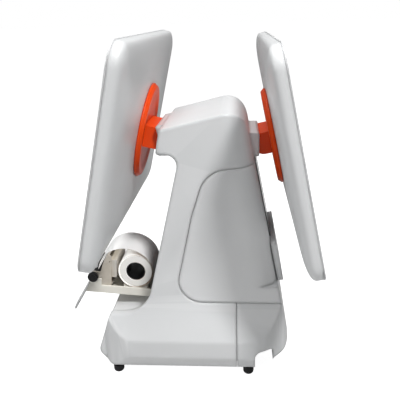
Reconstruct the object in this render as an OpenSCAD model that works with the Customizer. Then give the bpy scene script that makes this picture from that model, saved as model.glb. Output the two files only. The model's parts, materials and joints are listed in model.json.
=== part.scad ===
// Two-screen point-of-sale terminal: a hollow column on a flared base, a tilting touchscreen on each
// side, and a receipt printer on a drawer that slides into the column.
// X runs across the screens, -Y faces the cashier, +Y faces the customer, Z is up.

/* [Screens] */
// Width of each display
screen_w = 378; // [340:1:400]
// Height of each display
screen_h = 236; // [220:1:244]
// Depth of the display's side before it curves in
rim_d = 8; // [7.5:0.5:9]
// Depth of the display at its middle
screen_d = 19.5; // [18:0.5:21]
// Backward lean of the cashier's display
main_lean = 12.9; // [10:0.1:15]
// Backward lean of the customer's display
customer_lean = 11.6; // [9:0.1:14]
// Radius of the round hinge covers
disc_r = 59; // [50:1:62]

/* [Column] */
// Half of the column's width
column_x = 77; // [74:1:80]
// Half of the base's width
base_x = 97; // [95:1:100]
// Thickness of the plastic housings
wall = 2.8; // [2.5:0.1:3.2]
// Gap along the seams of the housings
seam = 0.5; // [0.3:0.1:0.8]

/* [Hinges] */
// Radius of the hinge pins
pin_r = 4; // [3:0.5:4]
// Radial clearance of a pin in its lug
pin_gap = 0.05; // [0.02:0.01:0.09]
// Half of the knuckles' width
knuckle_x = 33; // [31:1:33]

/* [Printer] */
// Upward slope of the drawer towards the cashier
drawer_slope = 4.7; // [4.2:0.1:5.2]
// Half of the drawer tray's width
tray_x = 34; // [33:1:35]
// Width of the paper roll
paper_w = 57; // [55:0.5:58]
// Outer radius of the paper roll
roll_r = 21.6; // [15:0.1:22]
// Radius of the paper roll's core
core_r = 12.7; // [11:0.1:13]

/* [Hidden] */
$fn = 64;

// Colours
white_c = [0.87, 0.88, 0.88];
orange_c = [0.93, 0.33, 0.10];
cream_c = [0.88, 0.86, 0.80];
steel_c = [0.62, 0.63, 0.64];
black_c = [0.08, 0.08, 0.09];
board_c = [0.10, 0.36, 0.22];

// Depth of a cut that passes right through
through = 400;

// ---- outlines: every point is [across, up, corner radius], counter-clockwise ----

function unit(v) = v / norm(v);
function at(pts, i) = pts[(i + len(pts)) % len(pts)];
function flat(p) = [p[0], p[1]];
function turn(a, b, c) = let (u = unit(b - a), v = unit(c - b)) u[0] * v[1] - u[1] * v[0];

// The arc that rounds corner b between a and c
function corner(a, b, c, r, steps) =
    let (
        u = unit(a - b),
        v = unit(c - b),
        half = acos(u * v) / 2,
        middle = b + unit(u + v) * r / sin(half),
        from = b + u * r / tan(half) - middle,
        to = b + v * r / tan(half) - middle,
        a0 = atan2(from[1], from[0]),
        sweep = (atan2(to[1], to[0]) - a0 + 540) % 360 - 180
    )
    [for (i = [0:steps]) middle + r * [cos(a0 + sweep * i / steps), sin(a0 + sweep * i / steps)]];

function rounded(pts, steps = 8) = [
    for (i = [0:len(pts) - 1])
        let (a = flat(at(pts, i - 1)), b = flat(pts[i]), c = flat(at(pts, i + 1)), r = pts[i][2])
        each (r == 0 ? [b] : corner(a, b, c, r, steps))
];

// The same outline moved inwards by t
function inset(pts, t) = [
    for (i = [0:len(pts) - 1])
        let (
            a = flat(at(pts, i - 1)),
            b = flat(pts[i]),
            c = flat(at(pts, i + 1)),
            u = unit(b - a),
            v = unit(c - b),
            n1 = [-u[1], u[0]],
            n2 = [-v[1], v[0]],
            moved = b + (n1 + n2) * t / (1 + n1 * n2),
            grown = turn(a, b, c) > 0 ? max(pts[i][2] - t, 0) : pts[i][2] + t
        )
        [moved[0], moved[1], pts[i][2] == 0 ? 0 : grown]
];

function box_outline(w, h, r) = [[-w / 2, -h / 2, r], [w / 2, -h / 2, r], [w / 2, h / 2, r], [-w / 2, h / 2, r]];

// An outline drawn as [y, z], extruded across X
module across(w) {
    rotate([90, 0, 90]) linear_extrude(height = w, center = true) children();
}

// An outline drawn as [x, z], extruded along Y from y0 to y1
module along(y0, y1) {
    translate([0, y1, 0]) rotate([90, 0, 0]) linear_extrude(height = y1 - y0) children();
}

module plate(w, h, r, t) {
    linear_extrude(height = t) polygon(rounded(box_outline(w, h, r)));
}

module rod_x(r, w) {
    rotate([0, 90, 0]) cylinder(r = r, h = w, center = true);
}

// ---- driving places ----

base_z = 10;
shoulder_z = 80.6;
column_side = [
    [-110, base_z, 14], [88, base_z, 8], [101, 25, 8], [119.8, 27, 8], [118.3, 50, 20], [113.8, 72, 30],
    [64.5, 331.6, 26], [-30.3, 309.6, 3], [-36, 281.5, 3], [-8.6, 281.5, 13],
    [-57.4, shoulder_z, 36], [-103, shoulder_z, 7], [-122.5, 24, 12]
];
rear_lean = 10.75;
flare_z0 = 50;
flare_z1 = 92;
top_z = 345;
flare = [
    [-90, base_z, 8], [90, base_z, 8], [base_x, 28, 12], [base_x, flare_z0, 7],
    [column_x, flare_z1, 60], [column_x, top_z, 0], [-column_x, top_z, 0],
    [-column_x, flare_z1, 60], [-base_x, flare_z0, 7], [-base_x, 28, 12]
];
// Base in plan, and how its rear corners draw in to the column's between two heights
base_front_y = -122.5;
base_rear_y = 120;
base_corner = 50;
corner_low = 134;
corner_high = 120.4;
// The column's corners come in with its rear face above the base
corner_top = corner_high - (top_z - flare_z1) * tan(rear_lean) / sqrt(2);
blend_z = 116;
corner_taper = [
    [-through, -through, 0], [corner_low, -through, 0], [corner_low, 72, 7], [corner_high, flare_z1, 20],
    [corner_top, top_z, 0], [-through, top_z, 0]
];
rear_corner = 28;
rear_y = 113.8;
rear_z = 72;
channel_x = 72;
channel_z = 64;
nose_x = 42;
collar_x = 40;

// Middle of each display's front face and the depth of its hinge axis behind it
main_y = -79.27;
main_z = 296.73;
main_axis_d = 50;
main_axis_s = 3;
customer_y = 121.35;
customer_z = 289.71;
customer_axis_d = 34;
customer_axis_s = 0.5;

main_axis = [
    main_y + main_axis_d * cos(main_lean) + main_axis_s * sin(main_lean),
    main_z - main_axis_d * sin(main_lean) + main_axis_s * cos(main_lean)
];
customer_axis = [
    customer_y - customer_axis_d * cos(customer_lean) - customer_axis_s * sin(customer_lean),
    customer_z - customer_axis_d * sin(customer_lean) + customer_axis_s * cos(customer_lean)
];

knuckle_r = 13;
pocket_gap = 1;
lug_x = 13.5;
washer_t = 1.2;
slot_x = lug_x + washer_t + 0.3;
eye_r = 10.5;
eye_gap = 0.6;
// Half of the height of a lug's arm and of the knuckle's mouth round it
arm_h = 6;
mouth_h = 11;

// Drawer frame: Y runs into the column and down the slope
drawer_y = -62.8;
drawer_z = 79.4;
opening_x = 46;

// ---- frames ----

// Puts the middle of the terminal's footprint, drawer included, on the origin
origin_y = 1.13;

module placed() {
    translate([0, origin_y, 0]) children();
}

module main_frame() {
    translate([0, main_y, main_z]) rotate([-main_lean, 0, 0]) children();
}

module customer_frame() {
    translate([0, customer_y, customer_z]) rotate([0, 0, 180]) rotate([-customer_lean, 0, 0]) children();
}

module rear_frame() {
    translate([0, rear_y, rear_z]) rotate([rear_lean, 0, 0]) children();
}

module drawer_frame() {
    translate([0, drawer_y, drawer_z]) rotate([-drawer_slope, 0, 0]) children();
}

// In a display's frame, a slab of the given outline between depths d0 and d1
module slab(w, h, r, d0, d1) {
    translate([0, d1, 0]) rotate([90, 0, 0]) linear_extrude(height = d1 - d0) polygon(rounded(box_outline(w, h, r)));
}

// ---- housings ----

// The closed outer form, moved inwards by t: one side profile over the column's plan and the base's plan
module form(t) {
    intersection() {
        across(2 * base_x) polygon(rounded(inset(column_side, t)));
        union() {
            column_plan(t);
            base_plan(t);
        }
    }
}

module column_plan(t) {
    rear_frame() translate([0, 0, flare_z0 - rear_z]) linear_extrude(height = through) polygon(rounded([
        [-column_x + t, -through, 0], [column_x - t, -through, 0],
        [column_x - t, -t, rear_corner - t], [-column_x + t, -t, rear_corner - t]
    ]));
}

module base_plan(t) {
    intersection() {
        along(-through, through) polygon(rounded(inset(flare, t)));
        for (a = [45, 135]) rotate([0, 0, a]) along(-through, through) polygon(rounded(inset(corner_taper, t)));
        linear_extrude(height = blend_z - t) polygon(rounded([
            [-base_x + t, base_front_y + t, base_corner - t], [base_x - t, base_front_y + t, base_corner - t],
            [base_x - t, base_rear_y - t, base_corner - t], [-base_x + t, base_rear_y - t, base_corner - t]
        ], 12));
    }
}

nose_side = [[-38.5, 272, 2], [-10, 272, 0], [-10, 313, 0], [-39.5, 307.5, 2], [-35.5, 290, 0]];
collar_side = [[60, 269.5, 0], [82.5, 269.5, 2], [82.5, 297.5, 2], [60, 297.5, 0]];

// Rear cover's share of the housing, grown by g
module rear_share(g) {
    across(through) polygon(rounded([
        [200, 95.3 - g, 0], [200, 272.6 + g, 0], [21 - g, 262.2 + g, 36], [3 - g, 207, 60], [-22.2 - g, 95.3 - g, 28]
    ], 12));
}

module base_rear_share(g) {
    translate([-through / 2, 55 - g, -10]) cube([through, through, 105.3 - seam + g]);
}

module drawer_opening() {
    drawer_frame() translate([-opening_x, -60, -3]) cube([2 * opening_x, 120, 76]);
}

// Channel in front of the column that the drawer slides over, with a recess for its fascia, grown by g
module drawer_channel(g) {
    across(2 * (channel_x + g)) polygon([
        [-200, channel_z - 1 - g], [-60.5 + g, channel_z + 3 - g], [-50.3 + g, 104 + g], [-200, 104 + g]
    ]);
}

module cable_notch() {
    across(3 * base_x) polygon(rounded([[77, -10, 0], [99, -10, 0], [99, 39, 4], [77, 36, 9]]));
}

// Screws that hold the two housings to the base plate
base_screw_places = [for (x = [-76.5, 76.5]) for (y = [-70, 46, 58.6]) [x, y]];
screw_head_r = 3.4;
screw_head_h = 1.6;

module housing() {
    difference() {
        union() {
            difference() {
                form(0);
                difference() {
                    form(wall);
                    // Nose and collar stay solid round their pockets
                    across(2 * nose_x - 4) polygon([[-60, 250], [-12, 250], [-12, 340], [-60, 340]]);
                    across(2 * collar_x - 4) polygon([[70, 262], [90, 262], [90, 305], [70, 305]]);
                    drawer_channel(wall);
                }
                translate([-72, -86, -1]) cube([144, 148, base_z + wall + 1.5]);
            }
            across(2 * nose_x) polygon(rounded(nose_side));
            across(2 * collar_x) polygon(rounded(collar_side));
        }
        across(2 * knuckle_x + 1.6) {
            translate(main_axis) circle(r = knuckle_r + pocket_gap);
            polygon([[-60, 250], [main_axis[0], 250], [main_axis[0], 307.6], [-60, 302]]);
        }
        across(2 * slot_x) polygon([[-40, 278], [-5, 278], [-5, 299], [-40, 299]]);
        translate([0, customer_axis[0], customer_axis[1]]) rod_x(knuckle_r + pocket_gap, 2 * knuckle_x + 1.6);
        across(2 * slot_x) polygon([[50, 274], [90, 274], [90, 293], [50, 293]]);
        drawer_opening();
        drawer_channel(0);
        cable_notch();
        for (p = base_screw_places) translate([p[0], p[1], base_z - 1]) {
            cylinder(r = screw_head_r + 0.4, h = 2.9);
            cylinder(r = 2.3, h = 6);
        }
        rear_port_opening();
    }
}

// Opening under the rear of the base for plugs and cables
module rear_port_opening() {
    translate([-66, 61, -1]) cube([132, 39, 24]);
}

module front_housing() {
    color(white_c) placed() difference() {
        housing();
        rear_share(seam);
        base_rear_share(seam);
    }
}

module rear_cover() {
    color(white_c) placed() intersection() {
        housing();
        rear_share(0);
    }
}

module base_rear_cover() {
    color(white_c) placed() intersection() {
        housing();
        base_rear_share(0);
    }
}

plate_z0 = base_z + wall + 0.05;
plate_t = 2;

module base_plate() {
    color(steel_c) placed() difference() {
        translate([0, -12.5, plate_z0]) plate(160, 175, 28, plate_t);
        for (p = base_screw_places) translate([p[0], p[1], 0]) cylinder(r = 2.02, h = 20);
        translate([-66, 62, -1]) cube([132, 60, 24]);
    }
}

foot_places = [[83, -96.5], [-83, -96.5], [83, 69], [-83, 69]];
foot_h = base_z - 0.05;

module rubber_feet() {
    color(black_c) placed() for (p = foot_places) translate([p[0], p[1], 0]) rotate_extrude()
        polygon([[0, 0], [4, 0], [5.2, 0.5], [6.1, 1.6], [6.6, 3.4], [6.6, foot_h], [0, foot_h]]);
}

module base_screws() {
    color(steel_c) placed() for (p = base_screw_places) translate([p[0], p[1], base_z + 0.25]) {
        cylinder(r = screw_head_r, h = screw_head_h);
        cylinder(r = 2, h = plate_z0 + plate_t - base_z);
    }
}

// ---- steel frame inside the column ----

mast_x = 50;
mast_t = 2;

module mast() {
    color(steel_c) placed() for (s = [-1, 1]) translate([s * (mast_x + mast_t / 2), 0, 0]) difference() {
        across(mast_t) polygon([
            [-52, plate_z0 + plate_t], [58, plate_z0 + plate_t], [58, 62], [96, 62], [60, 304],
            [-8, 304], [0, 262], [-41, 92]
        ]);
        for (z = [110, 160, 210]) translate([0, 28, z]) rod_x(14, 10);
        for (z = [285, 297]) for (y = [2, 54]) translate([0, y, z]) rod_x(2.1, 10);
    }
}

module beam(y0, z0) {
    difference() {
        translate([-mast_x, y0, z0]) cube([2 * mast_x, 8, 24]);
        for (x = [-8, 8]) translate([x, y0 + 4, z0 + 12]) rotate([90, 0, 0]) cylinder(r = 2.1, h = 20, center = true);
    }
}

module front_beam() {
    color(steel_c) placed() beam(-4, 277);
}

module rear_beam() {
    color(steel_c) placed() beam(50, 271.5);
}

// Lug whose eye turns on the pin; it reaches from the eye back to y1
module lug(axis, y1, z_mid) {
    low = min(axis[0], y1);
    difference() {
        union() {
            translate([0, axis[0], axis[1]]) rod_x(eye_r, 2 * lug_x);
            translate([-lug_x, low, z_mid - arm_h]) cube([2 * lug_x, abs(y1 - axis[0]), 2 * arm_h]);
        }
        translate([0, axis[0], axis[1]]) rod_x(pin_r + pin_gap, 3 * lug_x);
        for (x = [-8, 8]) translate([x, y1, z_mid]) rotate([90, 0, 0]) cylinder(r = 2, h = 20, center = true);
    }
}

module front_lug() {
    color(steel_c) placed() lug(main_axis, -4, 289);
}

module rear_lug() {
    color(steel_c) placed() lug(customer_axis, 58, 283.5);
}

module lug_screws() {
    color(steel_c) placed() for (x = [-8, 8]) {
        translate([x, 6.6, 289]) rotate([90, 0, 0]) cylinder(r = 2, h = 18);
        translate([x, 6.6, 289]) rotate([90, 0, 0]) cylinder(r = 3.6, h = 2.6);
        translate([x, 47.4, 283.5]) rotate([-90, 0, 0]) cylinder(r = 2, h = 18);
        translate([x, 47.4, 283.5]) rotate([-90, 0, 0]) cylinder(r = 3.6, h = 2.6);
    }
}

// ---- electronics inside the column ----

module main_board() {
    color(board_c) placed() rear_frame() translate([-mast_x, -16, 40]) cube([2 * mast_x, 1.6, 130]);
}

module cooling_block() {
    color(steel_c) placed() rear_frame() translate([-30, -28, 70]) difference() {
        cube([60, 12, 60]);
        for (i = [0:8]) translate([3 + i * 6.3, -1, -1]) cube([3.4, 9, 62]);
    }
}

module storage_drive() {
    color(black_c) placed() rear_frame() translate([-36, -22, 136]) cube([72, 6, 26]);
}

module speaker() {
    color(black_c) placed() translate([-64, -20, plate_z0 + plate_t]) difference() {
        cube([12, 44, 26]);
        translate([-1, 22, 13]) rotate([0, 90, 0]) cylinder(r = 10, h = 6);
    }
}

io_y = 60;
io_z = plate_z0 + plate_t;

// Port cut-outs: middle across, middle up, width, height
port_places = [[-8, 34, 14.6, 16.6], [20, 34, 16.6, 14], [-32, 34, 16.6, 12.4]];
inlet_x = 40;
inlet_z = 22;

module io_bracket() {
    color(steel_c) placed() difference() {
        translate([-48, io_y, io_z]) cube([96, 1.5, 44]);
        for (x = port_places) translate([x[0], io_y, x[1]]) cube([x[2], 20, x[3]], center = true);
        translate([inlet_x, io_y, inlet_z]) rotate([90, 0, 0]) cylinder(r = 4.6, h = 20, center = true);
    }
}

module socket(place, depth, slots) {
    w = place[2] - 0.6;
    h = place[3] - 0.6;
    translate([place[0], io_y + 2.5 - depth / 2, place[1]]) difference() {
        cube([w, depth, h], center = true);
        for (i = [0:slots - 1])
            translate([0, 5, (i - (slots - 1) / 2) * h / slots]) cube([w - 2, depth, h / slots - 2], center = true);
    }
}

module usb_port() {
    color(steel_c) placed() socket(port_places[0], 16, 2);
}

module network_port() {
    color(steel_c) placed() socket(port_places[1], 18, 1);
}

module serial_port() {
    color(steel_c) placed() socket(port_places[2], 16, 1);
}

module power_inlet() {
    color(black_c) placed() translate([inlet_x, io_y + 2.5, inlet_z]) rotate([90, 0, 0]) {
        difference() {
            cylinder(r = 4.4, h = 13);
            translate([0, 0, -1]) cylinder(r = 2.75, h = 11);
        }
        translate([0, 0, 2]) cylinder(r = 1, h = 9);
    }
}

// ---- covers on the rear face ----

module service_cover() {
    color(white_c) placed() rear_frame() translate([0, 0.1, 69]) rotate([-90, 0, 0]) difference() {
        plate(118, 54, 8, 7);
        translate([0, -3, 5.4]) plate(104, 36, 5, 4);
    }
}

module service_window() {
    color(black_c) placed() rear_frame() translate([0, 5.6, 72]) rotate([-90, 0, 0]) plate(103.4, 35.4, 4.7, 1.4);
}

module rear_trim() {
    color(black_c) placed() rear_frame() translate([0, 0.1, 148]) rotate([-90, 0, 0]) plate(96, 98, 6, 1.4);
}

// ---- displays ----

button_x = 150;
button_d = 9.6;

screen_r = 24;
// The back curves in over this distance from its edge to its flat middle
dome_w = 54;
dome_power = 2.5;
dome_steps = 12;
cover_t = 2.4;
bezel_t = 1.6;

function dome_in(i) = 0.3 + dome_w * pow(i / dome_steps, 2);
function dome_depth(i) = rim_d + (screen_d - rim_d)
    * pow(1 - pow(1 - pow(i / dome_steps, 2), dome_power), 1 / dome_power);

// Domed back, moved inwards by t
module dome(t) {
    hull() {
        for (i = [0:dome_steps])
            slab(screen_w - 2 * (dome_in(i) + t), screen_h - 2 * (dome_in(i) + t), max(screen_r - dome_in(i) - t, 4),
                0, dome_depth(i) - t);
    }
}

module back_cover(shift) {
    difference() {
        dome(0);
        dome(cover_t);
        translate([-through, -1, -through]) cube([2 * through, 1 + bezel_t + 0.1, 2 * through]);
        for (x = [-25, 25]) for (z = [-8, 8]) translate([x, screen_d, z + shift])
            rotate([90, 0, 0]) cylinder(r = 2.2, h = 12, center = true);
    }
}

// Front frame with a tub behind it that carries the glass
module bezel() {
    difference() {
        union() {
            slab(screen_w, screen_h, screen_r, 0, bezel_t);
            slab(screen_w - 6.6, screen_h - 6.6, screen_r - 3.3, bezel_t, 5);
        }
        slab(screen_w - 12, screen_h - 12, screen_r - 6, -1, 3);
        slab(352, 204, 3, -1, 6);
    }
}

module glass() {
    slab(screen_w - 12.8, screen_h - 12.8, screen_r - 6.4, 0.1, 2.9);
}

module panel() {
    slab(350, 202, 2, 5.2, 11);
}

module driver() {
    translate([0, 0, -58]) slab(150, 50, 2, 11.6, 13.2);
}

module mount_plate() {
    difference() {
        slab(110, 60, 4, 14.3, 16.6);
        for (x = [-25, 25]) for (z = [-8, 8]) translate([x, 15, z]) rotate([90, 0, 0]) cylinder(r = 2.1, h = 12, center = true);
    }
}

module mount_screws(shift) {
    for (x = [-25, 25]) for (z = [-8, 8]) translate([x, 0, z + shift]) rotate([-90, 0, 0]) {
        translate([0, 0, 11.8]) cylinder(r = 3.6, h = 2.4);
        translate([0, 0, 12]) cylinder(r = 1.98, h = 13);
    }
}

disc_ring = [
    [0, 0.1], [disc_r - 1, 0.1], [disc_r, 1.1], [disc_r, 2.4], [disc_r - 3.4, 6.4], [disc_r - 9, 6.6],
    [disc_r - 15, 4.2], [0, 4]
];

module disc(shift) {
    translate([0, screen_d, shift]) difference() {
        rotate([-90, 0, 0]) rotate_extrude($fn = 96) polygon(disc_ring);
        translate([-knuckle_x - 0.4, -1, -knuckle_r - 0.9]) cube([2 * knuckle_x + 0.8, 20, 2 * knuckle_r + 1.8]);
    }
}

// Fork whose arms carry the pin on both sides of the lug
module knuckle(axis_d, shift) {
    translate([0, 0, shift]) difference() {
        union() {
            translate([-knuckle_x, screen_d + 0.1, -knuckle_r])
                cube([2 * knuckle_x, axis_d - screen_d - 0.1, 2 * knuckle_r]);
            translate([0, axis_d, 0]) rod_x(knuckle_r, 2 * knuckle_x);
        }
        translate([0, axis_d, 0]) rod_x(eye_r + eye_gap, 2 * slot_x);
        translate([-slot_x, axis_d, -mouth_h]) cube([2 * slot_x, 3 * knuckle_r, 2 * mouth_h]);
        translate([0, axis_d, 0]) rod_x(pin_r + 0.02, 2 * knuckle_x - 4);
        for (x = [-25, 25]) for (z = [-8, 8]) translate([x, screen_d, z]) rotate([90, 0, 0]) cylinder(r = 2, h = 12, center = true);
    }
}

module pin(axis_d, shift) {
    translate([0, axis_d, shift]) rod_x(pin_r, 2 * knuckle_x - 5);
}

module washers(axis_d, shift) {
    for (s = [-1, 1]) translate([s * (lug_x + 0.15 + washer_t / 2), axis_d, shift]) difference() {
        rod_x(9, washer_t);
        rod_x(pin_r + 0.02, 2 * washer_t);
    }
}

module main_knuckle() {
    color(orange_c) placed() main_frame() knuckle(main_axis_d, main_axis_s);
}

module main_disc() {
    color(orange_c) placed() main_frame() disc(main_axis_s);
}

module main_pin() {
    color(steel_c) placed() main_frame() pin(main_axis_d, main_axis_s);
}

module main_washers() {
    color(steel_c) placed() main_frame() washers(main_axis_d, main_axis_s);
}

module main_mount_plate() {
    color(steel_c) placed() main_frame() translate([0, 0, main_axis_s]) mount_plate();
}

module main_mount_screws() {
    color(steel_c) placed() main_frame() mount_screws(main_axis_s);
}

module main_back_cover() {
    color(white_c) placed() main_frame() difference() {
        back_cover(main_axis_s);
        translate([button_x, button_d, -screen_h / 2]) cylinder(r = 4.2, h = 20, center = true);
    }
}

module main_bezel() {
    color(white_c) placed() main_frame() bezel();
}

module main_glass() {
    color(black_c) placed() main_frame() glass();
}

module main_panel() {
    color(steel_c) placed() main_frame() panel();
}

module main_driver() {
    color(board_c) placed() main_frame() driver();
}

module power_button() {
    color(white_c) placed() main_frame() translate([button_x, button_d, -screen_h / 2 - 1.2]) {
        cylinder(r = 4, h = 4.6);
        translate([0, 0, 4.6]) cylinder(r = 2, h = 3);
    }
}

module customer_knuckle() {
    color(orange_c) placed() customer_frame() knuckle(customer_axis_d, customer_axis_s);
}

module customer_disc() {
    color(orange_c) placed() customer_frame() disc(customer_axis_s);
}

module customer_pin() {
    color(steel_c) placed() customer_frame() pin(customer_axis_d, customer_axis_s);
}

module customer_washers() {
    color(steel_c) placed() customer_frame() washers(customer_axis_d, customer_axis_s);
}

module customer_mount_plate() {
    color(steel_c) placed() customer_frame() translate([0, 0, customer_axis_s]) mount_plate();
}

module customer_mount_screws() {
    color(steel_c) placed() customer_frame() mount_screws(customer_axis_s);
}

module customer_back_cover() {
    color(white_c) placed() customer_frame() back_cover(customer_axis_s);
}

module customer_bezel() {
    color(white_c) placed() customer_frame() bezel();
}

module customer_glass() {
    color(black_c) placed() customer_frame() glass();
}

module customer_panel() {
    color(steel_c) placed() customer_frame() panel();
}

module customer_driver() {
    color(board_c) placed() customer_frame() driver();
}

// ---- printer drawer ----

tray_front = -82.8;
tray_back = 40;
tray_floor = 3;
tray_wall = 10.5;
tray_t = 2.4;
fascia_lean = 21.4;
fascia_x = 84;
fascia_h = 14.5;
fascia_t = 2.2;
roll_y = -17.9;
roll_z = 32.2;
platen_y = -72.7;
platen_z = 23.2;
platen_r = 2.5;
wrap_r = 23.2;
paper_t = 0.4;
// The tray's front leans back as the fascia does
function front_y(z) = tray_front + z * tan(fascia_lean);

module drawer_tray() {
    color(cream_c) placed() drawer_frame() {
        difference() {
            // The sides rise into corner blocks beside the platen
            across(2 * tray_x) polygon(rounded([
                [tray_front, 0, 0], [tray_back, 0, 0], [tray_back, tray_wall, 1], [-61.9, tray_wall, 0],
                [-61.9, 20, 1], [-68.6, 18.6, 2], [front_y(14), 14, 1]
            ]));
            across(2 * (tray_x - tray_t)) polygon([
                [front_y(tray_floor) + tray_t, tray_floor], [tray_back - tray_t, tray_floor], [tray_back - tray_t, 30],
                [-100, 30], [-100, tray_wall], [front_y(tray_wall) + tray_t, tray_wall]
            ]);
        }
    }
}

module drawer_fascia() {
    color(white_c) placed() drawer_frame() translate([0, tray_front - 0.05, 0]) rotate([-fascia_lean, 0, 0])
        translate([0, 0, fascia_h / 2]) rotate([90, 0, 0]) plate(2 * fascia_x, fascia_h, 5, fascia_t);
}

module drawer_rails() {
    color(steel_c) placed() drawer_frame() for (s = [-1, 1]) translate([s * (mast_x + 28) / 2, 57, -1.4])
        cube([mast_x - 28, 90, 2.2], center = true);
}

module roll_cradle() {
    color(cream_c) placed() drawer_frame() difference() {
        translate([-27, roll_y - 16, tray_floor]) cube([54, 32, 8]);
        translate([0, roll_y, roll_z]) rod_x(wrap_r + 1.2, 100);
    }
}

chassis_side = [
    [-66.6, tray_floor, 0], [-49.5, tray_floor, 0], [-49.5, 51, 3], [-54.6, 55, 3], [-60.5, 42.4, 10], [-65.8, 22, 4]
];
chassis_x = 30;

module print_chassis() {
    color([0.60, 0.56, 0.50]) placed() drawer_frame() difference() {
        union() {
            for (s = [-1, 1]) translate([s * chassis_x, 0, 0]) across(1.6) {
                polygon(rounded(chassis_side));
                translate([platen_y, platen_z]) circle(r = 5.6);
                polygon([
                    [platen_y, platen_z - 5], [-62, tray_floor + 8], [-62, platen_z + 5], [platen_y, platen_z + 5]
                ]);
            }
            translate([-chassis_x, -51, 22]) cube([2 * chassis_x, 8, 25]);
            translate([-chassis_x, -60, 12]) cube([2 * chassis_x, 12, 2]);
        }
        for (s = [-1, 1]) translate([s * chassis_x, 0, 0]) {
            translate([0, -52, 44]) rod_x(1.2, 3);
            translate([0, platen_y, platen_z]) rod_x(platen_r + pin_gap, 3);
        }
    }
}

// The print head leans back from the platen
module head_frame() {
    translate([0, -65, 20]) rotate([-14, 0, 0]) children();
}

module print_head() {
    color([0.72, 0.69, 0.63]) placed() drawer_frame() head_frame() {
        translate([-28.8, 0, 0]) cube([57.6, 3, 30]);
        translate([-28.8, 2, 5]) cube([57.6, 6, 14]);
    }
}

module tear_bar() {
    color(steel_c) placed() drawer_frame() head_frame() difference() {
        translate([-28.8, -1, 22]) cube([57.6, 1, 9]);
        for (i = [0:16]) translate([-27.2 + i * 3.2, -2, 32]) rotate([0, 45, 0]) cube([2, 4, 2]);
    }
}

module platen_shaft() {
    color(steel_c) placed() drawer_frame() translate([3.2, platen_y, platen_z]) rod_x(platen_r, 2 * chassis_x + 9);
}

module platen_rubber() {
    color(black_c) placed() drawer_frame() translate([0, platen_y, platen_z]) difference() {
        rod_x(5.4, 57.6);
        rod_x(platen_r, 80);
    }
}

// Thumb wheel on the platen's right end, with a dished outer face
module platen_knob() {
    color(black_c) placed() drawer_frame() translate([tray_x + 0.6, platen_y, platen_z]) rotate([0, 90, 0]) difference() {
        rotate_extrude()
            polygon([[0, 0], [6.4, 0], [6.9, 0.5], [6.9, 3.4], [6.2, 4.1], [4.6, 4.1], [4.2, 3.6], [0, 3.6]]);
        translate([0, 0, -1]) cylinder(r = platen_r, h = 4.2);
    }
}

module paper_roll() {
    color([0.95, 0.95, 0.94]) placed() drawer_frame() translate([0, roll_y, roll_z]) difference() {
        rod_x(roll_r, paper_w);
        rod_x(core_r, 2 * paper_w);
    }
}

module roll_core() {
    color(black_c) placed() drawer_frame() translate([0, roll_y, roll_z]) difference() {
        rod_x(core_r, paper_w - 1);
        rod_x(core_r - 1.4, 2 * paper_w);
    }
}

// One loose turn round the roll, growing outwards, then the arch over to the print head
wrap_from = -335;
wrap_to = 12;
wrap_steps = 60;
function wrap_angle(i) = wrap_from + (wrap_to - wrap_from) * i / wrap_steps;
function wrap_grow(i) = roll_r + 0.6 + (wrap_r - roll_r - 0.6) * i / wrap_steps;
function wrap_point(r, a) = [roll_y + r * cos(a), roll_z + r * sin(a)];
arch_pts = [wrap_point(wrap_r, wrap_to), [-6.8, 73.8], [-63.3, 71.7], [-67.4, 31]];
function bezier(p, t) = pow(1 - t, 3) * p[0] + 3 * t * pow(1 - t, 2) * p[1] + 3 * t * t * (1 - t) * p[2] + pow(t, 3) * p[3];
function bezier_dir(p, t) = unit(
    pow(1 - t, 2) * (p[1] - p[0]) + 2 * t * (1 - t) * (p[2] - p[1]) + t * t * (p[3] - p[2]));
function side_of(v) = [v[1], -v[0]];
arch_steps = 20;

module paper_web() {
    color([0.95, 0.95, 0.94]) placed() drawer_frame() across(paper_w) polygon(concat(
        [for (i = [0:wrap_steps]) wrap_point(wrap_grow(i), wrap_angle(i))],
        [for (i = [1:arch_steps]) bezier(arch_pts, i / arch_steps)],
        [for (i = [arch_steps:-1:1]) bezier(arch_pts, i / arch_steps) + paper_t * side_of(bezier_dir(arch_pts, i / arch_steps))],
        [for (i = [wrap_steps:-1:0]) wrap_point(wrap_grow(i) + paper_t, wrap_angle(i))]
    ));
}

front_housing();
rear_cover();
base_rear_cover();
base_plate();
rubber_feet();
base_screws();
mast();
front_beam();
rear_beam();
front_lug();
rear_lug();
lug_screws();
main_board();
cooling_block();
storage_drive();
speaker();
io_bracket();
usb_port();
network_port();
serial_port();
power_inlet();
service_cover();
service_window();
rear_trim();
drawer_rails();
main_knuckle();
main_disc();
main_pin();
main_washers();
main_mount_plate();
main_mount_screws();
main_back_cover();
main_bezel();
main_glass();
main_panel();
main_driver();
power_button();
customer_knuckle();
customer_disc();
customer_pin();
customer_washers();
customer_mount_plate();
customer_mount_screws();
customer_back_cover();
customer_bezel();
customer_glass();
customer_panel();
customer_driver();
drawer_tray();
drawer_fascia();
roll_cradle();
print_chassis();
print_head();
tear_bar();
platen_shaft();
platen_rubber();
platen_knob();
paper_roll();
roll_core();
paper_web();
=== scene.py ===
"""Materials, lights and camera for the two-screen point-of-sale terminal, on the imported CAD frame."""

import json
import math

import bpy
from mathutils import Matrix, Vector

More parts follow.
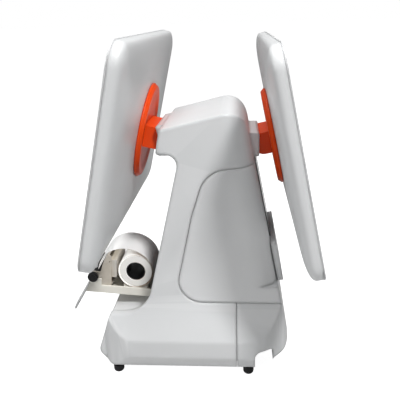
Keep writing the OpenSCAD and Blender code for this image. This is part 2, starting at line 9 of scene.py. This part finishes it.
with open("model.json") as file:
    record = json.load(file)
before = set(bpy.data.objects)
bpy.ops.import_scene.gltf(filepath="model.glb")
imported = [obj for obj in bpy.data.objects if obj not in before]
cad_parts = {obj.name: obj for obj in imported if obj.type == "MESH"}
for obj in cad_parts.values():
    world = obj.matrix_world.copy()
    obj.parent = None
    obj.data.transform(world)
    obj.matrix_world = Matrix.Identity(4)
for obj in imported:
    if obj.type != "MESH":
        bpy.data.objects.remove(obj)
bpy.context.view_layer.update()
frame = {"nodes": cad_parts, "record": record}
nodes = frame["nodes"]
joints = {joint["name"]: joint for joint in frame["record"]["behaviour"]["joints"]}
roll_axis = joints["roll_turn"]["pos_m"]


# ---- camera ----

# Metres, degrees and millimetres, from the perspective fitted to the photo
CAMERA_PLACE = (0.6735, 0.0621, 0.4289)
CAMERA_PITCH = 18.571
CAMERA_YAW = 4.543
CAMERA_ROLL = -1.713
CAMERA_LENS = 49.3
SENSOR_WIDTH = 36


def make_camera():
    """A camera on the terminal's +X side, looking down at it and turned slightly about its own axis."""
    pitch, yaw, roll = (math.radians(a) for a in (CAMERA_PITCH, CAMERA_YAW, CAMERA_ROLL))
    level = math.cos(pitch)
    ahead = Vector((-level * math.cos(yaw), -level * math.sin(yaw), -math.sin(pitch)))
    right = ahead.cross(Vector((0, 0, 1))).normalized()
    up = right.cross(ahead)
    rolled_right = right * math.cos(roll) + up * math.sin(roll)
    rolled_up = up * math.cos(roll) - right * math.sin(roll)
    turn = Matrix((rolled_right, rolled_up, -ahead)).transposed().to_4x4()
    data = bpy.data.cameras.new("camera")
    data.lens = CAMERA_LENS
    data.sensor_width = SENSOR_WIDTH
    data.clip_start = 0.01
    camera = bpy.data.objects.new("camera", data)
    camera.matrix_world = Matrix.Translation(CAMERA_PLACE) @ turn
    bpy.context.scene.collection.objects.link(camera)
    bpy.context.scene.camera = camera


# ---- lights and floor ----

# Name, place, the point it faces, diameter in metres, power in watts
LIGHTS = [
    ("overhead", (0, -0.2, 2.0), (0, 0, 0.1), 1.4, 24),
    ("key", (0.95, 0.6, 1.7), (0, 0, 0.2), 0.26, 27),
    ("fill", (0.9, -1.3, 0.7), (0, 0, 0.2), 0.8, 5),
]
WORLD_LIGHT = 0.18
WHITE_LIGHT = (1, 1, 1, 1)

FLOOR_SIZE = 60
FLOOR_COLOUR = (0.42, 0.42, 0.42, 1)
FLOOR_GLOW = 0.95
FLOOR_BOUNCE = 0.15


def area_light(name, place, target, size, power):
    """A round white area light that faces its target."""
    data = bpy.data.lights.new(name, "AREA")
    data.shape = "DISK"
    data.size = size
    data.energy = power
    light = bpy.data.objects.new(name, data)
    light.location = place
    light.rotation_euler = (Vector(target) - Vector(place)).to_track_quat("-Z", "Y").to_euler()
    bpy.context.scene.collection.objects.link(light)


def make_world():
    """White behind the terminal for the camera, and a dim even light for everything else."""
    world = bpy.data.worlds.new("studio")
    bpy.context.scene.world = world
    world.use_nodes = True
    tree = world.node_tree
    tree.nodes.clear()
    out = tree.nodes.new("ShaderNodeOutputWorld")
    sky = tree.nodes.new("ShaderNodeBackground")
    sky.inputs["Color"].default_value = WHITE_LIGHT
    sky.inputs["Strength"].default_value = WORLD_LIGHT
    backdrop = tree.nodes.new("ShaderNodeBackground")
    backdrop.inputs["Color"].default_value = WHITE_LIGHT
    backdrop.inputs["Strength"].default_value = 1.0
    path = tree.nodes.new("ShaderNodeLightPath")
    mix = tree.nodes.new("ShaderNodeMixShader")
    tree.links.new(path.outputs["Is Camera Ray"], mix.inputs[0])
    tree.links.new(sky.outputs[0], mix.inputs[1])
    tree.links.new(backdrop.outputs[0], mix.inputs[2])
    tree.links.new(mix.outputs[0], out.inputs["Surface"])


def make_floor():
    """A white floor that the camera can't tell from the backdrop."""
    bpy.ops.mesh.primitive_plane_add(size=FLOOR_SIZE, location=(0, 0, 0))
    floor = bpy.context.object
    floor.name = "floor"
    material = bpy.data.materials.new("floor")
    material.use_nodes = True
    tree = material.node_tree
    shader = tree.nodes["Principled BSDF"]
    shader.inputs["Base Color"].default_value = FLOOR_COLOUR
    shader.inputs["Roughness"].default_value = 0.9
    shader.inputs["Specular IOR Level"].default_value = 0.1
    shader.inputs["Emission Color"].default_value = WHITE_LIGHT
    # It glows white to the camera and much less to everything else
    path = tree.nodes.new("ShaderNodeLightPath")
    glow = tree.nodes.new("ShaderNodeMapRange")
    glow.inputs["To Min"].default_value = FLOOR_BOUNCE
    glow.inputs["To Max"].default_value = FLOOR_GLOW
    tree.links.new(path.outputs["Is Camera Ray"], glow.inputs["Value"])
    tree.links.new(glow.outputs[0], shader.inputs["Emission Strength"])
    # Clear from below, so the underside can be looked at through it
    geometry = tree.nodes.new("ShaderNodeNewGeometry")
    above = tree.nodes.new("ShaderNodeMath")
    above.operation = "SUBTRACT"
    above.inputs[0].default_value = 1
    tree.links.new(geometry.outputs["Backfacing"], above.inputs[1])
    tree.links.new(above.outputs[0], shader.inputs["Alpha"])
    floor.data.materials.append(material)


def make_studio():
    make_world()
    for light in LIGHTS:
        area_light(*light)
    make_floor()


# ---- materials ----

# The number of directions the Bevel shader node samples for a softened edge
BEVEL_SAMPLES = 8
# The input numbers of the Mix node's two colours and the number of its colour output
MIX_FIRST, MIX_SECOND, MIX_RESULT = 6, 7, 2


class Surface:
    """A node material that starts from one Principled shader and adds detail to it.

    Lengths, such as a bump's depth and a softened edge's radius, are in metres.
    """

    def __init__(self, name, colour, roughness, metallic=0.0):
        self.material = bpy.data.materials.new(name)
        self.material.use_nodes = True
        self.tree = self.material.node_tree
        self.shader = self.tree.nodes["Principled BSDF"]
        self.shader.inputs["Metallic"].default_value = metallic
        self.place = self.tree.nodes.new("ShaderNodeTexCoord").outputs["Object"]
        self.colour = self.rgb(colour)
        self.roughness = self.value(roughness)
        self.height = self.value(0.0)
        self.soften = 0.0

    def rgb(self, colour):
        node = self.tree.nodes.new("ShaderNodeRGB")
        node.outputs[0].default_value = (*colour, 1)
        return node.outputs[0]

    def value(self, number):
        node = self.tree.nodes.new("ShaderNodeValue")
        node.outputs[0].default_value = number
        return node.outputs[0]

    def math(self, operation, a, b):
        """Each of a and b is a number or another node's output."""
        node = self.tree.nodes.new("ShaderNodeMath")
        node.operation = operation
        for socket, value in zip(node.inputs, (a, b)):
            if isinstance(value, (int, float)):
                socket.default_value = value
            else:
                self.tree.links.new(value, socket)
        return node.outputs[0]

    def vector(self, operation, a, b=None):
        """The second vector is a tuple, another node's output, or left out."""
        node = self.tree.nodes.new("ShaderNodeVectorMath")
        node.operation = operation
        self.tree.links.new(a, node.inputs[0])
        if isinstance(b, tuple):
            node.inputs[1].default_value = b
        elif b is not None:
            self.tree.links.new(b, node.inputs[1])
        return node.outputs["Value" if operation in ("LENGTH", "DOT_PRODUCT") else "Vector"]

    def split(self, vector, part="X"):
        """One component of a vector."""
        node = self.tree.nodes.new("ShaderNodeSeparateXYZ")
        self.tree.links.new(vector, node.inputs[0])
        return node.outputs[part]

    def noise(self, scale, detail=3.0, stretch=(1, 1, 1)):
        """Noise from 0 to 1, in the object's own coordinates."""
        mapping = self.tree.nodes.new("ShaderNodeMapping")
        mapping.inputs["Scale"].default_value = stretch
        self.tree.links.new(self.place, mapping.inputs["Vector"])
        node = self.tree.nodes.new("ShaderNodeTexNoise")
        node.inputs["Scale"].default_value = scale
        node.inputs["Detail"].default_value = detail
        self.tree.links.new(mapping.outputs[0], node.inputs["Vector"])
        return node.outputs["Fac"]

    def range(self, value, low, high, start=0.3, stop=0.7):
        """Maps start..stop to low..high; the defaults are where most of a noise lies."""
        node = self.tree.nodes.new("ShaderNodeMapRange")
        node.inputs["From Min"].default_value = start
        node.inputs["From Max"].default_value = stop
        node.inputs["To Min"].default_value = low
        node.inputs["To Max"].default_value = high
        self.tree.links.new(value, node.inputs["Value"])
        return node.outputs[0]

    def tint(self, factor, colour):
        """Mixes another colour in where factor is 1."""
        node = self.tree.nodes.new("ShaderNodeMix")
        node.data_type = "RGBA"
        self.tree.links.new(factor, node.inputs[0])
        self.tree.links.new(self.colour, node.inputs[MIX_FIRST])
        node.inputs[MIX_SECOND].default_value = (*colour, 1)
        self.colour = node.outputs[MIX_RESULT]

    def vary_roughness(self, factor, amount):
        """Spreads the roughness over that amount, evenly to both sides."""
        centred = self.math("SUBTRACT", factor, 0.5)
        self.roughness = self.math("ADD", self.roughness, self.math("MULTIPLY", centred, amount))

    def relief(self, factor, depth):
        """Adds a bump of that depth in metres."""
        self.height = self.math("ADD", self.height, self.math("MULTIPLY", factor, depth))

    def edges(self, low=0.51, high=0.58):
        """1 along convex edges, 0 elsewhere: rubbed wear on sheet metal, a painted highlight on moulded
        plastic.
        """
        geometry = self.tree.nodes.new("ShaderNodeNewGeometry")
        return self.range(geometry.outputs["Pointiness"], 0, 1, low, high)

    def done(self):
        """Connects colour, roughness and bump to the shader, and gives the material back."""
        self.tree.links.new(self.colour, self.shader.inputs["Base Color"])
        self.tree.links.new(self.roughness, self.shader.inputs["Roughness"])
        bump = self.tree.nodes.new("ShaderNodeBump")
        bump.inputs["Distance"].default_value = 1.0
        self.tree.links.new(self.height, bump.inputs["Height"])
        self.tree.links.new(bump.outputs[0], self.shader.inputs["Normal"])
        if self.soften:
            edge = self.tree.nodes.new("ShaderNodeBevel")
            edge.samples = BEVEL_SAMPLES
            edge.inputs["Radius"].default_value = self.soften
            self.tree.links.new(edge.outputs[0], bump.inputs["Normal"])
        return self.material


def moulded(name, colour, shade, roughness, grain=0.00002, edge_highlight=None, coat=0.0, soften=0.0, shine=0.5):
    """Injection-moulded plastic: fine spark texture, slow colour drift and, with edge_highlight, a
    painted highlight along convex edges.
    """
    s = Surface(name, colour, roughness)
    s.tint(s.range(s.noise(7, 4), 0, 0.55), shade)
    s.tint(s.range(s.noise(900, 2), 0, 0.12), shade)
    # Painted highlight: a lighter colour along convex edges
    if edge_highlight:
        s.tint(s.math("MULTIPLY", s.edges(), 0.5), edge_highlight)
    s.vary_roughness(s.noise(30, 4), 0.12)
    s.relief(s.noise(1600, 2), grain)
    s.relief(s.noise(18, 2), grain * 2)
    s.shader.inputs["Coat Weight"].default_value = coat
    s.shader.inputs["Coat Roughness"].default_value = 0.12
    s.shader.inputs["Specular IOR Level"].default_value = shine
    s.soften = soften
    return s.done()


def brushed(name, colour, shade, roughness, along=(1, 60, 60)):
    """Metal with fine lines, by default along X."""
    s = Surface(name, colour, roughness, metallic=1.0)
    s.tint(s.range(s.noise(25, 5, along), 0, 0.6), shade)
    s.vary_roughness(s.noise(40, 4, along), 0.2)
    s.relief(s.noise(60, 3, along), 0.00001)
    return s.done()


def sheet(name, colour, shade, roughness):
    """Powder-coated or galvanised sheet, rubbed lighter along its edges."""
    s = Surface(name, colour, roughness, metallic=0.6)
    s.tint(s.range(s.noise(140, 5), 0, 0.7), shade)
    s.tint(s.math("MULTIPLY", s.edges(), 0.6), (0.8, 0.8, 0.82))
    s.vary_roughness(s.noise(90, 4), 0.2)
    s.relief(s.noise(1200, 2), 0.00002)
    return s.done()


def rubber(name):
    """Dull black rubber, dusty in places."""
    s = Surface(name, (0.005, 0.005, 0.006), 0.6)
    s.tint(s.range(s.noise(300, 4), 0, 0.6), (0.014, 0.014, 0.015))
    s.vary_roughness(s.noise(200, 3), 0.25)
    s.shader.inputs["Specular IOR Level"].default_value = 0.3
    s.relief(s.noise(1500, 3), 0.00004)
    return s.done()


def screen_glass(name):
    """Black touch glass, with the faintest smears of fingers."""
    s = Surface(name, (0.006, 0.006, 0.007), 0.04)
    smear = s.range(s.noise(26, 6, (1, 1, 0.4)), 0, 1, 0.5, 0.8)
    s.tint(s.math("MULTIPLY", smear, 0.4), (0.02, 0.02, 0.022))
    s.vary_roughness(smear, 0.18)
    s.shader.inputs["Coat Weight"].default_value = 1.0
    s.shader.inputs["Coat Roughness"].default_value = 0.03
    return s.done()


def circuit(name):
    """Green circuit board with lighter tracks and gold pads."""
    s = Surface(name, (0.02, 0.10, 0.05), 0.4)
    s.tint(s.range(s.noise(260, 1, (1, 8, 1)), 0, 0.8, 0.55, 0.6), (0.05, 0.22, 0.11))
    s.tint(s.range(s.noise(700, 0), 0, 1, 0.68, 0.7), (0.75, 0.62, 0.28))
    s.vary_roughness(s.noise(300, 2), 0.2)
    s.relief(s.noise(400, 1), 0.00015)
    return s.done()


# Where the arch of paper turns into the loose turn round the roll, along Y from the roll's axis
ARCH_TO_ROLL = (-0.012, 0.004)
# From this radius on, the ends show the edge of the loose turn, in painted brown shade
LOOSE_TURN = 0.0219
# Noise scale of the wound turns' edges, and the strength of the painted glow on the arch's inner side
PAPER_TURNS = 2600
PAPER_GLOW = 0.45


def paper(name, axis):
    """White receipt paper round that axis, with the turns showing on the roll's ends.

    Its inner side has painted brown shade on the roll. On the arch, nearer the print head, it has a
    painted glow instead, standing in for light coming through thin paper.
    """
    s = Surface(name, (0.95, 0.95, 0.94), 0.75)
    geometry = s.tree.nodes.new("ShaderNodeNewGeometry")
    outward = s.vector("SUBTRACT", s.place, (0, axis[1], axis[2]))
    flat = s.vector("MULTIPLY", outward, (0, 1, 1))
    radius = s.vector("LENGTH", flat)
    facing = s.vector("DOT_PRODUCT", geometry.outputs["True Normal"], flat)
    inner = s.math("LESS_THAN", facing, -0.002)
    side = s.math("GREATER_THAN", s.math("ABSOLUTE", s.split(geometry.outputs["True Normal"]), 0), 0.8)
    s.tint(s.range(s.noise(60, 5), 0, 0.3), (0.91, 0.91, 0.90))
    near_roll = s.range(s.split(flat, "Y"), 0, 1, *ARCH_TO_ROLL)
    # Painted brown shade on the inner side near the roll
    s.tint(s.math("MULTIPLY", s.math("MULTIPLY", inner, near_roll), 0.8), (0.60, 0.45, 0.33))
    # Painted glow: emission on the arch's inner side, standing in for light through the paper
    lit = s.math("MULTIPLY", inner, s.math("SUBTRACT", 1, near_roll))
    s.tree.links.new(s.math("MULTIPLY", lit, PAPER_GLOW), s.shader.inputs["Emission Strength"])
    s.shader.inputs["Emission Color"].default_value = (1, 1, 0.98, 1)
    turns = s.tree.nodes.new("ShaderNodeTexNoise")
    turns.noise_dimensions = "1D"
    turns.inputs["Scale"].default_value = PAPER_TURNS
    s.tree.links.new(radius, turns.inputs["W"])
    s.tint(s.math("MULTIPLY", side, s.range(turns.outputs["Fac"], 0, 0.6)), (0.78, 0.73, 0.64))
    # Painted brown shade on the edges of the loose turn
    s.tint(s.math("MULTIPLY", side, s.math("GREATER_THAN", radius, LOOSE_TURN)), (0.52, 0.40, 0.29))
    s.vary_roughness(s.noise(400, 3), 0.15)
    s.relief(s.noise(900, 4), 0.00002)
    return s.done()


MATERIALS = {
    # housing_white and hinge_orange get a painted highlight along their edges
    "housing_white": moulded("housing_white", (0.66, 0.67, 0.675), (0.62, 0.63, 0.635), 0.34,
                             edge_highlight=(0.74, 0.745, 0.75), soften=0.006),
    "cream_plastic": moulded("cream_plastic", (0.83, 0.81, 0.74), (0.78, 0.75, 0.68), 0.45),
    "hinge_orange": moulded("hinge_orange", (0.78, 0.064, 0.004), (0.72, 0.055, 0.003), 0.36,
                            grain=0.000008, edge_highlight=(0.9, 0.1, 0.015), shine=0.25),
    "steel": brushed("steel", (0.60, 0.60, 0.61), (0.42, 0.42, 0.43), 0.3),
    "sheet_steel": sheet("sheet_steel", (0.40, 0.41, 0.42), (0.30, 0.31, 0.32), 0.45),
    "aluminium": brushed("aluminium", (0.72, 0.73, 0.74), (0.55, 0.56, 0.57), 0.35),
    "rubber_black": rubber("rubber_black"),
    "board_green": circuit("board_green"),
    "screen_glass": screen_glass("screen_glass"),
    "panel_metal": sheet("panel_metal", (0.30, 0.31, 0.32), (0.22, 0.23, 0.24), 0.5),
    "gloss_black": moulded("gloss_black", (0.008, 0.008, 0.009), (0.014, 0.014, 0.015), 0.1,
                           grain=0.000004, coat=0.8),
    "plastic_black": moulded("plastic_black", (0.004, 0.004, 0.0045), (0.008, 0.008, 0.009), 0.35,
                             shine=0.3),
    "printer_beige": sheet("printer_beige", (0.62, 0.56, 0.47), (0.50, 0.45, 0.37), 0.5),
    "paper_white": paper("paper_white", roll_axis),
}


# ---- CAD nodes ----

# Distances in metres, angles in degrees
WELD_DISTANCE = 0.00001
BEVEL_WIDTH = 0.0003
WIDER_BEVELS = {"front_housing": 0.0008, "rear_cover": 0.0006, "base_rear_cover": 0.0006}
BEVEL_ANGLE = 35
SHARP_ANGLE = 32
NORMAL_WEIGHT = 100


def dress_nodes():
    """Gives every CAD node its slot's material, smooth shading and softened edges."""
    slots = {row["node"]: row["material_slot"] for row in frame["record"]["subparts"]}
    for name, piece in nodes.items():
        piece.data.materials.clear()
        piece.data.materials.append(MATERIALS[slots[name]])
        weld = piece.modifiers.new("weld", "WELD")
        weld.merge_threshold = WELD_DISTANCE
        bevel = piece.modifiers.new("bevel", "BEVEL")
        bevel.width = WIDER_BEVELS.get(name, BEVEL_WIDTH)
        bevel.segments = 2
        bevel.limit_method = "ANGLE"
        bevel.angle_limit = math.radians(BEVEL_ANGLE)
        bevel.use_clamp_overlap = True
        bevel.harden_normals = False
        for face in piece.data.polygons:
            face.use_smooth = True
        piece.data.set_sharp_from_angle(angle=math.radians(SHARP_ANGLE))
        weighted = piece.modifiers.new("weighted", "WEIGHTED_NORMAL")
        weighted.keep_sharp = True
        weighted.weight = NORMAL_WEIGHT


make_camera()
make_studio()
dress_nodes()
bpy.context.scene.view_settings.view_transform = "Standard"
